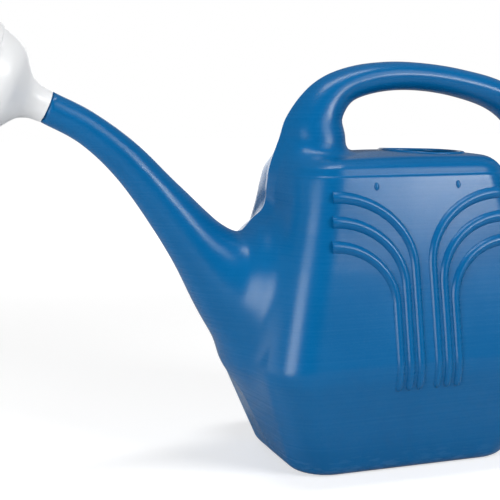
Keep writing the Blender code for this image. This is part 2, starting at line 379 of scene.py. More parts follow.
class Tank:
    """A distance field for the tank: tapered walls with round corners, a prow in front and a crowned deck."""

    def __init__(self, sizes: TankSizes) -> None:
        """Keeps the sizes."""
        self.sizes = sizes

    def taper(self, z: Array, axis: int) -> Array:
        """Half the tank's length or width at each height, its crease at the belt rounded.

        Args:
            z: the heights.
            axis: 0 for the length and 1 for the width.

        Returns:
            The half sizes.
        """
        s = self.sizes
        half = (s.half_length, s.half_width)[axis]
        below = half - s.base_inset[axis] * (s.belt_height - z) / s.belt_height
        above = half - s.top_inset[axis] * (z - s.belt_height) / (s.shoulder - s.belt_height)
        return smooth_union(below, above, s.belt_round)

    def bulge(self, x: Array, z: Array) -> Array:
        """How far a side panel swells out between the belt and the shoulder.

        Args:
            x: the points' X.
            z: the points' Z.

        Returns:
            The swell, in metres.
        """
        s = self.sizes
        rise = np.clip((z - s.belt_height) / (s.shoulder - s.belt_height), 0, 1)
        across = np.clip(1 - (x / s.top_half_length) ** 2, 0, 1)
        return s.panel_bulge * 4 * rise * (1 - rise) * across

    def prow(self, y: Array, z: Array) -> Array:
        """How far the front wall stands forward towards its centre line, in a shallow V.

        Args:
            y: the points' Y.
            z: the points' Z.

        Returns:
            The reach forward, in metres.
        """
        s = self.sizes
        low, high = s.belt_height, s.height
        rise = np.clip(z / low, 0, 1)
        fall = 0.25 + 0.75 * np.clip(1 - (z - low) / (0.6 * (high - low)), 0, 1)
        reach = np.minimum(np.abs(y) / (self.taper(z, 1) - 0.004), 1)
        return s.prow_depth * np.where(z < low, rise, fall) * (1 - reach) ** 1.25

    def distance(self, x: Array, y: Array, z: Array) -> Array:
        """The distance from the tank's surface.

        Args:
            x: the points' X.
            y: the points' Y.
            z: the points' Z.

        Returns:
            The distances, less than zero inside.
        """
        s = self.sizes
        length, width = self.taper(z, 0), self.taper(z, 1)
        forward = np.clip(-x / 0.05, 0, 1)
        across = np.abs(x) - length - self.prow(y, z) * forward + s.corner_radius
        beside = np.abs(y) - width - self.bulge(x, z) + s.corner_radius
        outside = np.hypot(np.maximum(across, 0), np.maximum(beside, 0))
        walls = outside + np.minimum(np.maximum(across, beside), 0) - s.corner_radius
        walls = walls * 0.97
        crown = s.deck_crown * np.clip(1 - (x / length) ** 2, 0, 1) * np.clip(1 - (y / width) ** 2, 0, 1)
        level = np.maximum(-z, z - s.height - crown)
        radius = np.where(z > s.belt_height, s.top_round, s.base_round)
        corner = np.hypot(np.maximum(walls + radius, 0), np.maximum(level + radius, 0))
        return corner + np.minimum(np.maximum(walls, level) + radius, 0) - radius


class Moulding:
    """The whole moulding's distance field, with its fillets."""

    SPOUT_FILLET = 0.017
    FRONT_FILLET = 0.032
    REAR_FILLET = 0.012
    FRONT_PLACE = -0.082
    FRONT_BLEND = 0.010
    KEEL_HEIGHT = 0.0026
    KEEL_WIDTH = 0.013
    KEEL_SHARE = 0.35
    KEEL_FROM = 0.165
    KEEL_FRONT = -0.190
    KEEL_REAR = -0.005

    def __init__(self, tank: TankSizes, rose: RoseSizes) -> None:
        """Makes the three fields."""
        self.tank = Tank(tank)
        self.spout = Sweep(spout_stations(tank, rose))
        self.handle = Sweep(handle_stations(tank))

    def places(self, points: Array) -> tuple[Array, Array]:
        """Where points lie along the spout and the handle, as guesses for later distances.

        Args:
            points: the points, one to a row.

        Returns:
            The places on the spout and on the handle.
        """
        x, z = points[:, 0], points[:, 2]
        return self.spout.locate(x, z), self.handle.locate(x, z)

    def distance(
        self, x: Array, y: Array, z: Array, guesses: tuple[Array, Array] | None = None
    ) -> Array:
        """The distance at points.

        Args:
            x: the points' X.
            y: the points' Y, in an array of the same shape.
            z: the points' Z, in an array of the same shape.
            guesses: what places() gave for the points, if known.

        Returns:
            The distances, less than zero inside.
        """
        on_spout, on_handle = guesses or (None, None)
        spout = self.spout.distance(self.spout.planar(x, z, on_spout), y)
        handle = self.handle.distance(self.handle.planar(x, z, on_handle), y)
        return self.joined(x, y, z, spout, handle)

    def joined(self, x: Array, y: Array, z: Array, spout: Array, handle: Array) -> Array:
        """Joins the spout's and handle's distances to the tank's.

        Args:
            x: the points' X.
            y: the points' Y.
            z: the points' Z.
            spout: the spout's distances.
            handle: the handle's distances.

        Returns:
            The joined distances.
        """
        body = smooth_union(self.tank.distance(x, y, z), spout, self.SPOUT_FILLET)
        front = 0.5 - 0.5 * np.tanh((x - self.FRONT_PLACE) / self.FRONT_BLEND)
        blend = self.REAR_FILLET + (self.FRONT_FILLET - self.REAR_FILLET) * front
        return smooth_union(body, handle, blend) - self.keel(x, y, z)

    def keel(self, x: Array, y: Array, z: Array) -> Array:
        """How far the surface stands proud near the centre line, from the spout's root up to the grip.

        Args:
            x: the points' X.
            y: the points' Y.
            z: the points' Z.

        Returns:
            The height, less than zero where the surface dips beside the keel.
        """
        rise = np.clip((z - self.KEEL_FROM) / 0.03, 0, 1)
        rear = np.clip((self.KEEL_REAR - x) / 0.06, 0, 1)
        front = np.clip((x - self.KEEL_FRONT) / 0.04, 0, 1)
        reach = np.clip(1 - np.abs(y) / self.KEEL_WIDTH, 0, 1)
        return self.KEEL_HEIGHT * rise * rear * front * (reach**1.3 - self.KEEL_SHARE)

    def grid(self, x: Array, y: Array, z: Array) -> Array:
        """The distance on a whole grid, given its three axes.

        Args:
            x: the grid's steps along X.
            y: its steps along Y.
            z: its steps along Z.

        Returns:
            The distances, one to a cell.
        """
        plane_x, plane_z = np.meshgrid(x, z, indexing="ij")
        spout = [part[:, None, :] for part in self.spout.planar(plane_x, plane_z)]
        handle = [part[:, None, :] for part in self.handle.planar(plane_x, plane_z)]
        across = y[None, :, None]
        whole_x = np.broadcast_to(x[:, None, None], (len(x), len(y), len(z)))
        whole_y = np.broadcast_to(across, whole_x.shape)
        whole_z = np.broadcast_to(z[None, None, :], whole_x.shape)
        to_spout = self.spout.distance(spout, across)
        to_handle = self.handle.distance(handle, across)
        return self.joined(whole_x, whole_y, whole_z, to_spout, to_handle)

    def slope(
        self, points: Array, guesses: tuple[Array, Array] | None = None
    ) -> tuple[Array, Array]:
        """The distance and its unit gradient at an array of points.

        Args:
            points: the points, one to a row.
            guesses: what places() gave for them, if known.

        Returns:
            The distances, in metres, and the outward directions.
        """
        guesses = guesses or self.places(points)
        step = 2e-4
        gradient = np.empty_like(points)
        for axis in range(3):
            ahead, behind = points.copy(), points.copy()
            ahead[:, axis] += step
            behind[:, axis] -= step
            gradient[:, axis] = self.distance(*ahead.T, guesses) - self.distance(*behind.T, guesses)
        gradient /= 2 * step
        size = np.maximum(np.linalg.norm(gradient, axis=1), 0.2)
        return self.distance(*points.T, guesses) / size, gradient / size[:, None]

    def settle(self, points: Array, rounds: int = 3) -> Array:
        """Moves points on to the surface.

        Args:
            points: the points, one to a row.
            rounds: how many Newton steps to take.

        Returns:
            The points on the surface.
        """
        guesses = self.places(points)
        for _ in range(rounds):
            distance, normal = self.slope(points, guesses)
            points = points - np.clip(distance, -0.004, 0.004)[:, None] * normal
        return points

    def drape(self, mesh: bpy.types.Mesh, side: int) -> None:
        """Lays a flat relief on a side panel.

        Args:
            mesh: the relief, drawn in X and Z, with its height above the wall as Y.
            side: -1 for the panel at -Y and 1 for the one at +Y.
        """
        points = vertex_array(mesh)
        height = points[:, 1].copy()
        points[:, 1] = side * self.tank.taper(points[:, 2], 1)
        guesses = self.places(points)
        for _ in range(6):
            distance, normal = self.slope(points, guesses)
            lean = side * np.maximum(side * normal[:, 1], 0.3)
            points[:, 1] -= distance / lean
        _, normal = self.slope(points, guesses)
        set_vertex_array(mesh, points + normal * height[:, None])


# -------------------------------------------------------------------------------------- mesh helpers


def vertex_array(mesh: bpy.types.Mesh) -> Array:
    """A mesh's points, one to a row.

    Args:
        mesh: the mesh.

    Returns:
        The points.
    """
    flat = np.empty(len(mesh.vertices) * 3, np.float32)
    mesh.vertices.foreach_get("co", flat)
    return flat.reshape(-1, 3).astype(float)


def set_vertex_array(mesh: bpy.types.Mesh, points: Array) -> None:
    """Gives a mesh new points.

    Args:
        mesh: the mesh.
        points: its points, one to a row.
    """
    mesh.vertices.foreach_set("co", points.astype(np.float32).ravel())
    mesh.update()


def face_out(mesh: bpy.types.Mesh) -> None:
    """Turns a closed mesh's faces outwards.

    Args:
        mesh: the mesh.
    """
    work = bmesh.new()
    work.from_mesh(mesh)
    bmesh.ops.recalc_face_normals(work, faces=work.faces)
    work.to_mesh(mesh)
    work.free()


def shade(mesh: bpy.types.Mesh, crease: float) -> None:
    """Shades a mesh smooth, apart from edges that turn by more than an angle.

    Args:
        mesh: the mesh.
        crease: the angle, in radians.
    """
    work = bmesh.new()
    work.from_mesh(mesh)
    for face in work.faces:
        face.smooth = True
    for edge in work.edges:
        edge.smooth = not (len(edge.link_faces) == 2 and edge.calc_face_angle(0) > crease)
    work.to_mesh(mesh)
    work.free()


def add_object(name: str, data: bpy.types.ID) -> bpy.types.Object:
    """Adds a mesh, a curve or other data to the scene as an object at the origin.

    Args:
        name: the object's name.
        data: what the object shows.

    Returns:
        The object.
    """
    made = bpy.data.objects.new(name, data)
    bpy.context.scene.collection.objects.link(made)
    return made


def rail(name: str, points: Array, cyclic: bool = False, radii: Array | None = None) -> bpy.types.Object:
    """A curve object through points, for a recipe to run along.

    Args:
        name: the object's name.
        points: the points, one to a row, or several rails of them.
        cyclic: whether the curve closes on itself.
        radii: the curve's radius at each point, for every rail alike.

    Returns:
        The object.
    """
    curve = bpy.data.curves.new(name, "CURVE")
    curve.dimensions = "3D"
    for run in points if points.ndim == 3 else [points]:
        spline = curve.splines.new("POLY")
        spline.points.add(len(run) - 1)
        spline.points.foreach_set("co", np.column_stack([run, np.ones(len(run))]).ravel())
        if radii is not None:
            spline.points.foreach_set("radius", radii)
        spline.use_cyclic_u = cyclic
    return add_object(name, curve)


def applied(source: bpy.types.Object, name: str) -> bpy.types.Object:
    """A plain mesh object of what an object's modifiers make. The source is removed.

    Args:
        source: the object with its modifiers.
        name: the new object's name.

    Returns:
        The new object.
    """
    graph = bpy.context.evaluated_depsgraph_get()
    mesh = bpy.data.meshes.new_from_object(source.evaluated_get(graph), depsgraph=graph)
    mesh.name = name
    bpy.data.objects.remove(source, do_unlink=True)
    return add_object(name, mesh)


def turned(profile: Sequence[tuple[float, float]], name: str, steps: int = 128) -> bpy.types.Object:
    """A closed body turned about Z.

    Args:
        profile: (radius, height) points up the outer side, and down the inner side of a ring.
        name: the object's name.
        steps: how many facets go round.

    Returns:
        The object, as a plain mesh.
    """
    outline = bmesh.new()
    points = [outline.verts.new((radius, 0, height)) for radius, height in reversed(profile)]
    for first, second in zip(points, points[1:]):
        outline.edges.new((first, second))
    if min(radius for radius, _ in profile) > 0:
        outline.edges.new((points[-1], points[0]))
    mesh = bpy.data.meshes.new(name)
    outline.to_mesh(mesh)
    outline.free()
    screw = add_object(name, mesh).modifiers.new("Turn", "SCREW")
    screw.steps = steps
    screw.render_steps = steps
    screw.use_merge_vertices = True
    screw.merge_threshold = 0.00001
    return applied(screw.id_data, name)


def rounded_profile(
    corners: Sequence[tuple[float, float]], radius: float, steps: int = 4
) -> list[tuple[float, float]]:
    """A profile with each inner corner rounded, by no more than its shorter side allows.

    Args:
        corners: the profile's corners as (radius, height).
        radius: the rounding wanted.
        steps: facets in each rounded corner.

    Returns:
        The rounded profile.
    """
    made = [corners[0]]
    for before, here, after in zip(corners, corners[1:], corners[2:]):
        here_v = Vector(here)
        back, ahead = Vector(before) - here_v, Vector(after) - here_v
        cut = min(radius, back.length * 0.45, ahead.length * 0.45)
        start, end = here_v + back.normalized() * cut, here_v + ahead.normalized() * cut
        for step in range(steps + 1):
            t = step / steps
            point = start * (1 - t) ** 2 + here_v * (2 * t * (1 - t)) + end * t**2
            made.append((point.x, point.y))
    return [*made, corners[-1]]


# ------------------------------------------------------------------------------- node-tree expressions


class Flow:
    """One value in a node tree, which Python arithmetic extends with Math nodes."""

    def __init__(self, tree: bpy.types.NodeTree, socket: bpy.types.NodeSocket) -> None:
        """Wraps a socket of a tree."""
        self.tree = tree
        self.socket = socket

    def op(self, operation: str, *others: "Flow | float", clamp: bool = False) -> "Flow":
        """A Math node on this value and up to two others.

        Args:
            operation: the node's operation.
            others: the other values.
            clamp: whether to hold the result between 0 and 1.

        Returns:
            The node's result.
        """
        node = self.tree.nodes.new("ShaderNodeMath")
        node.operation = operation
        node.use_clamp = clamp
        for slot, value in zip(node.inputs, (self, *others)):
            feed(self.tree, slot, value)
        return Flow(self.tree, node.outputs[0])

    def __add__(self, other: "Flow | float") -> "Flow":
        """Adds."""
        return self.op("ADD", other)

    def __radd__(self, other: float) -> "Flow":
        """Adds to a number."""
        return self.op("ADD", other)

    def __sub__(self, other: "Flow | float") -> "Flow":
        """Subtracts."""
        return self.op("SUBTRACT", other)

    def __rsub__(self, other: float) -> "Flow":
        """Subtracts from a number."""
        return self.op("MULTIPLY", -1.0).op("ADD", other)

    def __mul__(self, other: "Flow | float") -> "Flow":
        """Multiplies."""
        return self.op("MULTIPLY", other)

    def __rmul__(self, other: float) -> "Flow":
        """Multiplies a number."""
        return self.op("MULTIPLY", other)

    def __truediv__(self, other: "Flow | float") -> "Flow":
        """Divides."""
        return self.op("DIVIDE", other)

    def __pow__(self, other: float) -> "Flow":
        """Raises to a power."""
        return self.op("POWER", other)

    def __abs__(self) -> "Flow":
        """Drops the sign."""
        return self.op("ABSOLUTE")

    def between(self, low: float, high: float) -> "Flow":
        """0 below low and 1 above high, smooth in between. It falls instead where low is above high.
        """
        share = ((self - low) / (high - low)).op("ADD", 0.0, clamp=True)
        return share * share * (3.0 - 2.0 * share)


def feed(tree: bpy.types.NodeTree, slot: bpy.types.NodeSocket, value: object) -> None:
    """Links a value into an input, or sets the input to it.

    Args:
        tree: the node tree.
        slot: the input.
        value: a Flow, a socket or a plain value.
    """
    if isinstance(value, Flow):
        value = value.socket
    if isinstance(value, bpy.types.NodeSocket):
        tree.links.new(value, slot)
    else:
        slot.default_value = value


def add_node(
    tree: bpy.types.NodeTree, kind: str, inputs: dict | None = None, **settings: object
) -> bpy.types.Node:
    """Adds a node to a tree.

    Args:
        tree: the node tree.
        kind: the node's type.
        inputs: values or sockets for its inputs, by name or number.
        settings: its other settings.

    Returns:
        The node.
    """
    node = tree.nodes.new(kind)
    for name, value in settings.items():
        setattr(node, name, value)
    for name, value in (inputs or {}).items():
        feed(tree, node.inputs[name], value)
    return node


class Recipe:
    """A Geometry Nodes tree with named inputs, begun empty."""

    def __init__(self, name: str, sizes: dict[str, float | int]) -> None:
        """Begins the tree with its inputs and output.

        Args:
            name: the tree's name.
            sizes: its named sizes, with the values to run it with.
        """
        self.tree = bpy.data.node_groups.new(name, "GeometryNodeTree")
        self.sizes = sizes
        face = self.tree.interface
        face.new_socket("Geometry", in_out="INPUT", socket_type="NodeSocketGeometry")
        for title, value in sizes.items():
            kind = "NodeSocketInt" if isinstance(value, int) else "NodeSocketFloat"
            face.new_socket(title, in_out="INPUT", socket_type=kind)
        face.new_socket("Finish", in_out="INPUT", socket_type="NodeSocketMaterial")
        face.new_socket("Geometry", in_out="OUTPUT", socket_type="NodeSocketGeometry")
        self.entry = self.tree.nodes.new("NodeGroupInput")
        self.given = self.entry.outputs["Geometry"]

    def size(self, title: str) -> Flow:
        """One of the tree's named sizes."""
        return Flow(self.tree, self.entry.outputs[title])

    def add(self, kind: str, inputs: dict | None = None, **settings: object) -> bpy.types.Node:
        """Adds a node, as add_node does."""
        return add_node(self.tree, kind, inputs, **settings)

    def made(self, kind: str, inputs: dict | None = None, **settings: object) -> bpy.types.NodeSocket:
        """Adds a node and gives its first output."""
        return self.add(kind, inputs, **settings).outputs[0]

    def join(self, *parts: bpy.types.NodeSocket) -> bpy.types.NodeSocket:
        """All the given geometry as one.

        Args:
            parts: the geometry.

        Returns:
            The joined geometry.
        """
        node = self.tree.nodes.new("GeometryNodeJoinGeometry")
        for part in parts:
            self.tree.links.new(part, node.inputs[0])
        return node.outputs[0]

    def carry_out(
        self,
        made: bpy.types.NodeSocket,
        source: bpy.types.Object,
        name: str,
        finish: bpy.types.Material,
    ) -> bpy.types.Object:
        """Ends the tree, runs it on an object, and gives the result as a plain mesh object.

        Args:
            made: the geometry to end with.
            source: the object that the tree runs on, which is used up.
            name: the new object's name.
            finish: the material for all of it.

        Returns:
            The new object.
        """
        whole = self.made("GeometryNodeRealizeInstances", {0: made})
        coating = self.entry.outputs["Finish"]
        coated = self.made("GeometryNodeSetMaterial", {"Geometry": whole, "Material": coating})
        self.add("NodeGroupOutput", {0: coated})
        modifier = source.modifiers.new(name, "NODES")
        modifier.node_group = self.tree
        inputs = [item for item in self.tree.interface.items_tree if item.in_out == "INPUT"]
        keys = {item.name: item.identifier for item in inputs}
        for title, value in self.sizes.items():
            modifier[keys[title]] = value
        modifier[keys["Finish"]] = finish
        result = applied(source, name)
        face_out(result.data)
        return result


# --------------------------------------------------------------------------------------------- finishes


class Paint:
    """A material's node tree, begun with one Principled shader."""

    def __init__(self, name: str, constants: dict[str, object]) -> None:
        """Begins the material.

        Args:
            name: its name.
            constants: the shader's inputs that don't vary.
        """
        self.material = bpy.data.materials.new(name)
        self.material.use_nodes = True
        self.tree = self.material.node_tree
        self.tree.nodes.clear()
        self.shader = self.add("ShaderNodeBsdfPrincipled", constants)
        self.add("ShaderNodeOutputMaterial", {"Surface": self.shader.outputs[0]})
        self.place = self.add("ShaderNodeTexCoord").outputs["Object"]
        self.x, self.y, self.z = self.split(self.place)

    def add(self, kind: str, inputs: dict | None = None, **settings: object) -> bpy.types.Node:
        """Adds a node, as add_node does."""
        return add_node(self.tree, kind, inputs, **settings)

    def split(self, vector: bpy.types.NodeSocket) -> tuple[Flow, ...]:
        """A vector's three parts."""
        node = self.add("ShaderNodeSeparateXYZ", {0: vector})
        return tuple(Flow(self.tree, out) for out in node.outputs)

    def noise(
        self, scale: float, detail: float = 2.0, stretch: tuple[float, float, float] = (1, 1, 1)
    ) -> Flow:
        """Noise about 0.5.

        Args:
            scale: its features are 1 / scale metres across.
            detail: how many finer layers it has.
            stretch: how far it is squeezed along each axis.

        Returns:
            The noise.
        """
        place = self.add("ShaderNodeMapping", {"Vector": self.place, "Scale": stretch}).outputs[0]
        node = self.add("ShaderNodeTexNoise", {"Vector": place, "Scale": scale, "Detail": detail})
        return Flow(self.tree, node.outputs[0])

    def mix(self, share: Flow, first: object, second: object) -> bpy.types.NodeSocket:
        """A colour between two, by share."""
        return self.add("ShaderNodeMix", {0: share, 6: first, 7: second}, data_type="RGBA").outputs[2]

    def set(self, name: str, value: object) -> None:
        """Feeds one of the shader's inputs."""
        feed(self.tree, self.shader.inputs[name], value)

    def bump(self, height: Flow) -> None:
        """Raises the surface by a height in metres."""
        node = self.add("ShaderNodeBump", {"Height": height, "Distance": 1.0, "Strength": 1.0})
        self.set("Normal", node.outputs[0])


@dataclass(frozen=True)
class BlueMoulding:
    """Satin polyethylene: a fine orange peel, faint streaks, a parting line and scuffs low down."""

    colour: tuple[float, float, float, float] = (0.0, 0.106, 0.288, 1)
    deep: tuple[float, float, float, float] = (0.0, 0.090, 0.254, 1)
    worn: tuple[float, float, float, float] = (0.035, 0.16, 0.36, 1)
    roughness: float = 0.27
    peel: float = 0.000045
    grain: float = 0.000010
    parting: float = 0.00012
    streak: float = 0.000003
    groove: float = 0.0007
    groove_foot: tuple[float, float] = (0.2360, 0.2385)
    groove_top: tuple[float, float] = (0.2440, 0.2395)
    groove_edge: tuple[float, float] = (0.030, 0.045)

    def make(self) -> bpy.types.Material:
        """Builds the material.

        Returns:
            The material.
        """
        paint = Paint(Slot.BLUE.value, {"IOR": 1.47, "Specular IOR Level": 0.28})
        streaks = paint.noise(9, 3, (0.6, 1, 70))
        clouds = paint.noise(16, 4)
        peel = paint.noise(620, 2)
        grain = paint.noise(2600, 1)
        specks = paint.noise(1500, 1)
        low = paint.z.between(0.022, 0.0)
        scuffs = (paint.noise(70, 5, (1, 1, 5)).between(0.52, 0.68) * low).op("MULTIPLY", 0.55)
        line = abs(paint.y).between(0.0007, 0.0002)
        speckled = specks.between(0.63, 0.74) * 0.12
        uneven = (streaks.between(0.30, 0.70) * 0.15) + (clouds.between(0.30, 0.70) * 0.4) + 0.4
        base = paint.mix(uneven, self.deep, self.colour)
        marks = (scuffs + speckled).op("ADD", line * 0.10, clamp=True)
        marked = paint.mix(marks, base, self.worn)
        paint.set("Base Color", marked)
        rough = (clouds - 0.5) * 0.10 + (streaks - 0.5) * 0.05 + (grain - 0.5) * 0.10 + scuffs * 0.2
        paint.set("Roughness", rough + self.roughness)
        band = paint.z.between(*self.groove_foot) * paint.z.between(*self.groove_top)
        dip = band * abs(paint.y).between(*self.groove_edge)
        relief = peel * self.peel + grain * self.grain + streaks * self.streak
        paint.bump(relief + line * self.parting - dip * self.groove)
        return paint.material


@dataclass(frozen=True)
class WhiteRose:
    """Injection-moulded white polypropylene, satin, with a faint grain and a little grey clouding at random.
    """

    colour: tuple[float, float, float, float] = (0.76, 0.77, 0.78, 1)
    grey: tuple[float, float, float, float] = (0.66, 0.67, 0.69, 1)
    roughness: float = 0.34
    grain: float = 0.000008

    def make(self) -> bpy.types.Material:
        """Builds the material.

        Returns:
            The material.
        """
        paint = Paint(
            Slot.WHITE.value,
            {
                "IOR": 1.49,
                "Subsurface Weight": 0.12,
                "Subsurface Radius": (1.0, 0.95, 0.9),
                "Subsurface Scale": 0.003,
            },
        )
        clouds = paint.noise(34, 4)
        grain = paint.noise(1500, 2)
        paint.set("Base Color", paint.mix(clouds.between(0.42, 0.72) * 0.35, self.colour, self.grey))
        paint.set("Roughness", (clouds - 0.5) * 0.14 + (grain - 0.5) * 0.08 + self.roughness)
        paint.bump(grain * self.grain)
        return paint.material


@dataclass(frozen=True)
class Floor:
    """The plain pale floor."""

    tone: float = 0.60
    glow: float = 0.55
    far_glow: float = 1.0

    def make(self) -> bpy.types.Material:
        """Builds the material, which glows more far off so that it meets the backdrop.

        Returns:
            The material.
        """
        shades = (self.tone, self.tone, self.tone, 1)
        paint = Paint("floor", {"Base Color": shades, "Roughness": 0.8, "Specular IOR Level": 0.0})
        paint.set("Emission Strength", 1.0)
        far = (paint.x * paint.x + paint.y * paint.y).op("SQRT").between(0.5, 2.0)
        seen = Flow(paint.tree, paint.add("ShaderNodeLightPath").outputs["Is Camera Ray"])
        glow = (far * (self.far_glow - self.glow) + self.glow) * seen
        paint.set("Emission Color", glow)
        return paint.material


# ----------------------------------------------------------------------------------------------- pieces


def dress(
    made: bpy.types.Object, body: Body, slot: Slot, finish: bpy.types.Material, *nodes: str
) -> None:
    """Gives a piece its material, and hands it to a body of the frame.

    Args:
        made: the piece.
        body: the body it rides on.
        slot: the record's material slot; not used.
        finish: its material.
        nodes: the frame's nodes that it stands for.
    """
    made.data.materials.clear()
    made.data.materials.append(finish)
    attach(made, body.value)
    if nodes:
        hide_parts(*nodes)
    log.info("%s: %d faces, rides %s", made.name, len(made.data.polygons), body.value)


class CanMoulding:
    """The tank, spout and handle as one blow-moulded skin, open at the fill mouth and the spout's tip."""

    CELL = 0.0029
    REACH_X = (-0.310, 0.185)
    REACH_Y = 0.105
    REACH_Z = (-0.012, 0.338)
    DECK_BAND = 0.006
    TIP_BAND = 0.003
    TIP_WALL = 0.0012
    OUTSIDE = 9.0

    def __init__(self, tank: TankSizes, mouth: MouthSizes, rose: RoseSizes) -> None:
        """Keeps the sizes and makes the distance field."""
        self.tank = tank
        self.mouth = mouth
        self.rose = rose
        self.field = Moulding(tank, rose)

    def surface(self) -> bpy.types.Mesh:
        """The outer surface as a closed mesh of quads.

        Returns:
            The mesh.
        """
        cell = self.CELL
        x = np.arange(*self.REACH_X, cell)
        half = int(self.REACH_Y / cell) + 1
        y = (np.arange(-half, half) + 0.5) * cell
        z = np.arange(*self.REACH_Z, cell)
        volume = openvdb.FloatGrid()
        volume.background = 1.0
        volume.copyFromArray(self.field.grid(x, y, z).astype(np.float32))
        points, quads = volume.convertToQuads(0.0)
        points = points.astype(float) * cell + np.array([x[0], y[0], z[0]])
        mesh = bpy.data.meshes.new("can_surface")
        mesh.from_pydata(self.field.settle(points, 2).tolist(), [], quads.tolist())
        return mesh

    def in_mouth(self, point: Vector) -> float:
        """How far out a point is from the fill mouth's centre, with 1 at its edge.

        Args:
            point: the point.

        Returns:
            The share of the way out to the edge, or OUTSIDE off the deck.
        """
        if abs(point.z - self.tank.height) > self.DECK_BAND:
            return self.OUTSIDE
        across = (point.x - self.mouth.centre(self.tank)) / (self.mouth.length / 2)
        return float(np.hypot(across, point.y / (self.mouth.width / 2)))

    def open_up(self, mesh: bpy.types.Mesh) -> None:
        """Cuts the fill mouth and the hole at the spout's tip, and draws their edges true.

        Args:
            mesh: the closed surface.
        """
        work = bmesh.new()
        work.from_mesh(mesh)
        to_tip = self.rose.axes(self.tank).inverted()
        bore = self.rose.spigot_radius - self.TIP_WALL

        def at_tip(point: Vector) -> float:
            """How far out a point is from the tip's centre, with 1 at the bore's edge."""
            local = to_tip @ point
            return local.to_2d().length / bore if abs(local.z) < self.TIP_BAND else self.OUTSIDE

        for reach in (self.in_mouth, at_tip):
            gone = [face for face in work.faces if reach(face.calc_center_median()) < 1]
            bmesh.ops.delete(work, geom=gone, context="FACES")
            rim = [vert for vert in work.verts if vert.is_boundary and reach(vert.co) < 2]
            for vert in rim:
                share = reach(vert.co)
                if reach is at_tip:
                    local = to_tip @ vert.co
                    vert.co = to_tip.inverted() @ Vector((local.x / share, local.y / share, local.z))
                else:
                    centre = self.mouth.centre(self.tank)
                    vert.co.x = centre + (vert.co.x - centre) / share
                    vert.co.y /= share
        work.to_mesh(mesh)
        work.free()

    def crease(self, mesh: bpy.types.Mesh) -> None:
        """Shades the skin smooth, apart from the crease along the front's centre line.

        Args:
            mesh: the skin.
        """
        work = bmesh.new()
        work.from_mesh(mesh)
        for face in work.faces:
            face.smooth = True
        for edge in work.edges:
            ends = [abs(vert.co.y) < 2e-4 for vert in edge.verts]
            turn = edge.calc_face_angle(0) if len(edge.link_faces) == 2 else 0
            edge.smooth = not (all(ends) and turn > radians(7))
        work.to_mesh(mesh)
        work.free()

    def build(self) -> bpy.types.Object:
        """Builds the skin with its wall thickness.

        Returns:
            The skin.
        """
        mesh = self.surface()
        self.open_up(mesh)
        wall = add_object("can_skin", mesh).modifiers.new("Wall", "SOLIDIFY")
        wall.thickness = self.tank.wall
        wall.offset = -1
        made = applied(wall.id_data, "can_moulding")
        self.crease(made.data)
        return made


class FillRim:
    """The rolled bead round the fill mouth."""

    OUTSET = 0.0005
    SINK = 0.0004

    def __init__(self, skin: CanMoulding) -> None:
        """Keeps the skin that the bead lies on."""
        self.skin = skin

    def build(self, finish: bpy.types.Material) -> bpy.types.Object:
        """Builds the bead along the mouth's edge.

        Args:
            finish: its material.

        Returns:
            The bead.
        """
        mouth, tank = self.skin.mouth, self.skin.tank
        angles = np.linspace(0, 2 * pi, 96, endpoint=False)
        x = mouth.centre(tank) + (mouth.length / 2 + self.OUTSET) * np.cos(angles)
        y = (mouth.width / 2 + self.OUTSET) * np.sin(angles)
        z = np.full_like(x, tank.height)
        for _ in range(12):
            z -= self.skin.field.distance(x, y, z)
        path = rail("fill_rim_path", np.column_stack([x, y, z - self.SINK]), cyclic=True)
        recipe = Recipe("bead", {"Radius": mouth.bead})
        profile = recipe.made(
            "GeometryNodeCurvePrimitiveCircle", {"Resolution": 20, "Radius": recipe.size("Radius")}
        )
        swept = recipe.made(
            "GeometryNodeCurveToMesh", {"Curve": recipe.given, "Profile Curve": profile}
        )
        made = recipe.carry_out(swept, path, "fill_rim", finish)
        shade(made.data, radians(60))
        return made


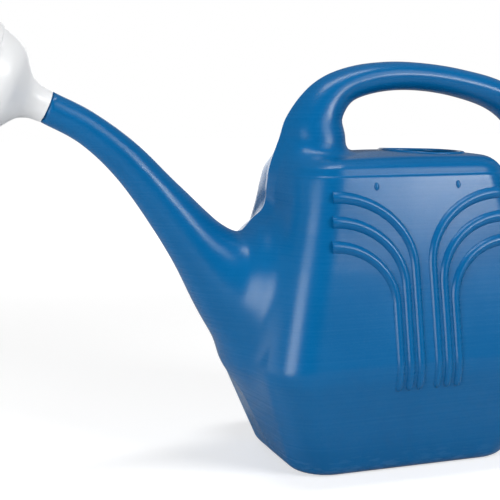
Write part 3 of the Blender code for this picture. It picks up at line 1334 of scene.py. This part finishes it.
class Fountain:
    """The raised ribs and pips of one side panel."""

    STEPS = 90
    SINK = 0.0008

    def __init__(self, skin: CanMoulding, sizes: RibSizes) -> None:
        """Keeps the skin that the relief lies on, and its sizes."""
        self.skin = skin
        self.sizes = sizes

    def path(self, index: int, hand: int) -> Array:
        """One rib's line over the flat panel: up the stem, then over a quarter ellipse to the side.

        Args:
            index: the rib's number, from the middle out.
            hand: -1 for a rib that turns to -X and 1 for one that turns to +X.

        Returns:
            The line's points, one to a row.
        """
        s, tank = self.sizes, self.skin.tank
        stem = s.first + s.spacing * index
        top = tank.shoulder - s.drop * (index + 0.75)
        spread = tank.top_half_length - s.end_inset + s.end_step * index - stem
        arc = s.arc_height - s.arc_step * index
        turn = np.linspace(0, pi / 2, 60)
        x = np.concatenate([[stem], stem + spread * (1 - np.cos(turn))])
        z = np.concatenate([[tank.belt_height - s.foot_drop], top - arc * (1 - np.sin(turn))])
        along = np.concatenate([[0], np.cumsum(np.hypot(np.diff(x), np.diff(z)))])
        even = np.linspace(0, along[-1], self.STEPS)
        flat = np.interp(even, along, x) * hand
        return np.column_stack([flat, np.zeros(self.STEPS), np.interp(even, along, z)])

    def build(self, side: int, finish: bpy.types.Material) -> bpy.types.Object:
        """Builds one panel's relief.

        Args:
            side: -1 for the panel at -Y and 1 for the one at +Y.
            finish: its material.

        Returns:
            The relief, laid on the panel.
        """
        s, tank = self.sizes, self.skin.tank
        runs = np.array([self.path(index, hand) for index in range(s.count) for hand in (-1, 1)])
        share = np.linspace(0, 1, self.STEPS)
        foot = np.sqrt(1 - (1 - np.clip(share * 32, 0, 1)) ** 2)
        radii = (0.12 + 0.88 * foot) * (0.86 + 0.40 * share**1.5)
        path = rail("rib_path", runs, radii=radii)
        recipe = Recipe(
            "fountain",
            {
                "Width": s.width,
                "Height": s.height,
                "Sink": self.SINK,
                "Pip Width": s.pip_width,
                "Pip Height": s.pip_height,
                "Pip Offset": s.pip_offset,
                "Pip Level": tank.shoulder - s.pip_drop,
            },
        )
        circle = recipe.made("GeometryNodeCurvePrimitiveCircle", {"Resolution": 28, "Radius": 1.0})
        position = recipe.made("GeometryNodeInputPosition")
        split = recipe.add("ShaderNodeSeparateXYZ", {0: position})
        round_x, round_y = Flow(recipe.tree, split.outputs[0]), Flow(recipe.tree, split.outputs[1])
        upper = round_y.op("GREATER_THAN", -0.001)
        swell = 1.0 - abs(round_x) ** 2.2
        raised = recipe.size("Height") * swell * upper - recipe.size("Sink") * abs(round_y) * (1.0 - upper)
        spot = recipe.made("ShaderNodeCombineXYZ", {0: raised, 1: round_x * recipe.size("Width") * 0.5})
        profile = recipe.made("GeometryNodeSetPosition", {"Geometry": circle, "Position": spot})
        faced = recipe.made(
            "GeometryNodeSetCurveNormal", {"Curve": recipe.given, "Normal": (0.0, 1.0, 0.0)}, mode="FREE"
        )
        radius = recipe.made("GeometryNodeInputRadius")
        ribs = recipe.made(
            "GeometryNodeCurveToMesh",
            {"Curve": faced, "Profile Curve": profile, "Scale": radius, "Fill Caps": True},
        )
        ball = recipe.made("GeometryNodeMeshUVSphere", {"Segments": 32, "Rings": 16, "Radius": 0.5})
        flat = recipe.made(
            "ShaderNodeCombineXYZ",
            {0: recipe.size("Pip Width"), 1: recipe.size("Height"), 2: recipe.size("Pip Height")},
        )
        pip = recipe.made("GeometryNodeTransform", {"Geometry": ball, "Scale": flat})
        start = recipe.made(
            "ShaderNodeCombineXYZ", {0: recipe.size("Pip Offset") * -1.0, 2: recipe.size("Pip Level")}
        )
        step = recipe.made("ShaderNodeCombineXYZ", {0: recipe.size("Pip Offset") * 2.0})
        line = recipe.made("GeometryNodeMeshLine", {"Count": 2, "Start Location": start, "Offset": step})
        pips = recipe.made("GeometryNodeInstanceOnPoints", {"Points": line, "Instance": pip})
        name = f"ribs_{'near' if side < 0 else 'far'}"
        made = recipe.carry_out(recipe.join(ribs, pips), path, name, finish)
        self.skin.field.drape(made.data, side)
        face_out(made.data)
        shade(made.data, radians(70))
        return made


class Spigot:
    """The short tube at the spout's tip that the rose pushes on to."""

    def __init__(self, tank: TankSizes, sizes: RoseSizes) -> None:
        """Keeps the sizes."""
        self.tank = tank
        self.sizes = sizes

    def build(self) -> bpy.types.Object:
        """Builds the tube in place.

        Returns:
            The tube.
        """
        outer, bore = self.sizes.spigot_radius, self.sizes.spigot_radius - self.tank.wall
        root, end = -0.006, self.sizes.spigot_length
        profile = [(outer, root), (outer, end - 0.0012), (outer - 0.0007, end), (bore, end), (bore, root)]
        made = turned(rounded_profile(profile, 0.0004, 2), "spigot")
        made.data.transform(self.sizes.axes(self.tank))
        shade(made.data, radians(40))
        return made


class Rose:
    """The sprinkler rose: its bell-shaped shell and its perforated face."""

    def __init__(self, tank: TankSizes, sizes: RoseSizes) -> None:
        """Keeps the sizes."""
        self.tank = tank
        self.sizes = sizes

    def outline(self) -> list[tuple[float, float]]:
        """The shell's profile, up its outer side and down its inner side.

        Returns:
            The profile's points as (radius, height).
        """
        s = self.sizes
        collar, socket = s.tip_radius + 0.0001, s.spigot_radius + s.clearance
        bell, start = s.shoulder, s.length - s.rim
        seat, ledge = s.face_radius + s.clearance, s.length - s.seat_depth - s.seam
        outer = [
            (collar, s.seam),
            (collar + 0.0005, 0.009),
            (collar + 0.0036, 0.0165),
            (collar + 0.0078, 0.0207),
            (bell - 0.0130, 0.0255),
            (bell - 0.0060, 0.0310),
            (bell - 0.0022, 0.0380),
            (bell, start - 0.003),
            (bell, start),
        ]
        rim = [
            (s.radius - 0.0006, start + 0.0008),
            (s.radius, start + 0.003),
            (s.radius, s.length - 0.0015),
            (s.radius - 0.0012, s.length),
            (seat, s.length),
            (seat, ledge),
        ]
        inner = [
            (bell - s.wall, ledge),
            (bell - s.wall - 0.0010, 0.0430),
            (bell - s.wall - 0.0052, 0.0350),
            (bell - s.wall - 0.0135, 0.0272),
            (socket + 0.0062, 0.0225),
            (socket + 0.0018, 0.0185),
            (socket, s.spigot_length),
            (socket, s.seam),
        ]
        return [
            *rounded_profile(outer, 0.008, 8),
            *rounded_profile(rim, 0.0008, 4),
            *rounded_profile(inner, 0.006, 6),
        ]

    def build_shell(self) -> bpy.types.Object:
        """Builds the shell in place.

        Returns:
            The shell.
        """
        made = turned(self.outline(), "rose_bell", 160)
        made.data.transform(self.sizes.axes(self.tank))
        shade(made.data, radians(32))
        return made

    def build_face(self, finish: bpy.types.Material) -> bpy.types.Object:
        """Builds the domed face in place, with its rings of holes.

        Args:
            finish: its material.

        Returns:
            The face.
        """
        s = self.sizes
        seat, radius = s.length - s.seat_depth, s.face_radius
        reach = [1 - step / 14 for step in range(15)]
        top = [(radius * r, seat + s.face_thickness + s.face_dome * (1 - r**2)) for r in reach]
        under = [(r, height - s.face_thickness) for r, height in reversed(top)]
        blank = turned([*under, *top], "face_blank", 160)
        pitch = (radius - 0.006) / (s.hole_rings + 0.2)
        recipe = Recipe("perforations", {"Hole": s.hole_radius, "Pitch": pitch, "Level": s.length})
        drill = recipe.made(
            "GeometryNodeMeshCylinder", {"Vertices": 20, "Radius": recipe.size("Hole"), "Depth": 0.03}
        )
        rings = [recipe.made("GeometryNodeMeshLine", {"Count": 1})]
        for ring in range(1, s.hole_rings + 1):
            circle = recipe.made(
                "GeometryNodeMeshCircle", {"Vertices": 6 * ring, "Radius": recipe.size("Pitch") * float(ring)}
            )
            turn = (0.0, 0.0, pi / (6 * ring) * (ring % 2))
            rings.append(recipe.made("GeometryNodeTransform", {"Geometry": circle, "Rotation": turn}))
        level = recipe.made("ShaderNodeCombineXYZ", {2: recipe.size("Level")})
        centres = recipe.made("GeometryNodeSetPosition", {"Geometry": recipe.join(*rings), "Offset": level})
        placed = recipe.made("GeometryNodeInstanceOnPoints", {"Points": centres, "Instance": drill})
        drills = recipe.made("GeometryNodeRealizeInstances", {0: placed})
        pierced = recipe.made(
            "GeometryNodeMeshBoolean", {"Mesh 1": recipe.given, "Mesh 2": drills}, solver="EXACT"
        )
        made = recipe.carry_out(pierced, blank, "rose_plate", finish)
        made.data.transform(s.axes(self.tank))
        shade(made.data, radians(32))
        return made


# ----------------------------------------------------------------------------------------------- studio


@dataclass(frozen=True)
class Softbox:
    """One rectangular area light, aimed at a point."""

    name: str
    place: tuple[float, float, float]
    aim: tuple[float, float, float]
    size: tuple[float, float]
    power: float

    def build(self) -> bpy.types.Object:
        """Adds the light.

        Returns:
            The light.
        """
        lamp = bpy.data.lights.new(self.name, "AREA")
        lamp.shape = "RECTANGLE"
        lamp.size, lamp.size_y = self.size
        lamp.energy = self.power
        made = add_object(self.name, lamp)
        made.location = self.place
        sight = Vector(self.aim) - Vector(self.place)
        made.rotation_euler = sight.to_track_quat("-Z", "Y").to_euler()
        return made


@dataclass(frozen=True)
class Studio:
    """A bright world behind the can, dimmer in front, with softboxes, a floor and a camera."""

    sky: float = 0.26
    front: float = 0.03
    floor_reach: float = 6.0
    floor_level: float = -0.0002
    target: tuple[float, float, float] = (-0.1165, 0.0, 0.1752)
    distance: float = 0.912
    azimuth: float = radians(-19.235)
    elevation: float = radians(8.01)
    lens: float = 81.14

    def build_world(self) -> None:
        """A world that is bright behind the can and above it, and dimmer in front."""
        world = bpy.data.worlds.new("studio")
        bpy.context.scene.world = world
        world.use_nodes = True
        tree = world.node_tree
        tree.nodes.clear()
        direction = add_node(tree, "ShaderNodeTexCoord").outputs["Generated"]
        split = add_node(tree, "ShaderNodeSeparateXYZ", {0: direction})
        behind = Flow(tree, split.outputs[1]).between(-0.30, 0.30)
        seen = Flow(tree, add_node(tree, "ShaderNodeLightPath").outputs["Is Camera Ray"])
        light = (behind * (self.sky - self.front) + self.front) * (1.0 - seen) + seen
        back = add_node(tree, "ShaderNodeBackground", {"Color": (1, 1, 1, 1), "Strength": light})
        add_node(tree, "ShaderNodeOutputWorld", {"Surface": back.outputs[0]})

    def build_lights(self) -> None:
        """The softboxes."""
        boxes = (
            Softbox("key", (0.60, -1.05, 1.15), (-0.02, 0.0, 0.15), (0.6, 0.6), 5.0),
            Softbox("panel", (0.80, -1.15, 0.71), (0.02, -0.07, 0.20), (0.62, 0.24), 12.0),
            Softbox("top", (-0.10, -0.10, 1.35), (-0.10, 0.0, 0.20), (0.7, 0.20), 6.0),
            Softbox("left", (-1.22, -0.74, 0.42), (-0.1, -0.03, 0.18), (0.56, 0.75), 13.0),
            Softbox("rim", (0.15, 1.50, 0.50), (-0.1, 0.0, 0.18), (0.8, 0.8), 3.5),
            Softbox("card", (-0.90, 0.20, 0.06), (-0.15, 0.0, 0.08), (0.7, 0.5), 1.6),
        )
        for box in boxes:
            box.build()

    def build_floor(self) -> None:
        """A wide plane at the can's base."""
        mesh = bpy.data.meshes.new("floor")
        reach, level = self.floor_reach, self.floor_level
        corners = [(-reach, -reach), (reach, -reach), (reach, reach), (-reach, reach)]
        mesh.from_pydata([(x, y, level) for x, y in corners], [], [(0, 1, 2, 3)])
        mesh.materials.append(Floor().make())
        add_object("floor", mesh)

    def build_camera(self) -> None:
        """A camera at the studio's standing view."""
        camera = bpy.data.cameras.new("camera")
        camera.lens = self.lens
        camera.sensor_width = 36
        made = add_object("camera", camera)
        back = Vector(
            (
                sin(self.azimuth) * cos(self.elevation),
                -cos(self.azimuth) * cos(self.elevation),
                sin(self.elevation),
            )
        )
        made.location = Vector(self.target) + back * self.distance
        made.rotation_euler = (-back).to_track_quat("-Z", "Y").to_euler()
        bpy.context.scene.camera = made

    def build(self) -> None:
        """Builds the whole studio."""
        bpy.context.scene.view_settings.view_transform = "Standard"
        self.build_world()
        self.build_lights()
        self.build_floor()
        self.build_camera()


def main() -> None:
    """Builds every piece, then the studio round them."""
    logging.basicConfig(level=logging.INFO, format="%(message)s")
    tank, mouth, ribs, rose = TankSizes(), MouthSizes(), RibSizes(), RoseSizes()
    blue, white = BlueMoulding().make(), WhiteRose().make()
    skin = CanMoulding(tank, mouth, rose)
    dress(skin.build(), Body.CAN, Slot.BLUE, blue, "tank", "spout", "handle")
    dress(FillRim(skin).build(blue), Body.CAN, Slot.BLUE, blue)
    fountain = Fountain(skin, ribs)
    for side in (-1, 1):
        dress(fountain.build(side, blue), Body.CAN, Slot.BLUE, blue)
    dress(Spigot(tank, rose).build(), Body.CAN, Slot.BLUE, blue)
    head = Rose(tank, rose)
    dress(head.build_shell(), Body.ROSE, Slot.WHITE, white, "rose_shell")
    dress(head.build_face(white), Body.ROSE, Slot.WHITE, white, "rose_face")
    Studio().build()


if __name__ == "__main__":
    main()
